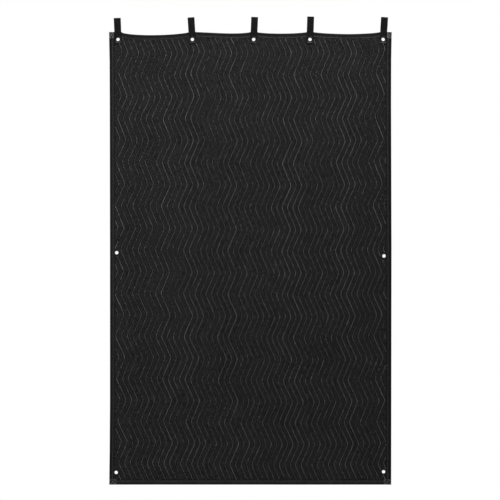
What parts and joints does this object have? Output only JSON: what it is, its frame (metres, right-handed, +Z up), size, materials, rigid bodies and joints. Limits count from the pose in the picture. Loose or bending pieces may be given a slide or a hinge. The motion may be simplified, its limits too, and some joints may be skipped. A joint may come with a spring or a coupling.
{
  "type": "acoustic curtain",
  "caption": "Black quilted acoustic curtain with zigzag stitching, taped edges, webbing tab loops along its top and metal eyelets, hanging flat.",
  "frame": {"origin": "middle of the heading's top edge, halfway through the cloth's thickness", "axes": "+Z up, +X to the right as seen from the front, and the front faces -Y"},
  "size_m": [1.323, 0.0174, 2.1909],
  "materials": {
    "quilted_cloth": "matt black woven cloth, quilted in light grey thread",
    "binding_tape": "matt black woven tape",
    "webbing": "black woven webbing with a slight sheen",
    "eyelet_metal": "glossy black plating"
  },
  "bodies": {
    "root": {"quilted_panel": "quilted_cloth", "heading_binding": "binding_tape", "bottom_binding": "binding_tape", "left_binding": "binding_tape", "right_binding": "binding_tape", "tab_loop_1": "webbing", "tab_loop_2": "webbing", "tab_loop_3": "webbing", "tab_loop_4": "webbing", "tab_loop_5": "webbing", "eyelet_1": "eyelet_metal", "eyelet_2": "eyelet_metal", "eyelet_3": "eyelet_metal", "eyelet_4": "eyelet_metal", "eyelet_5": "eyelet_metal", "eyelet_6": "eyelet_metal", "eyelet_7": "eyelet_metal", "eyelet_8": "eyelet_metal", "eyelet_9": "eyelet_metal"}
  },
  "joints": []
}
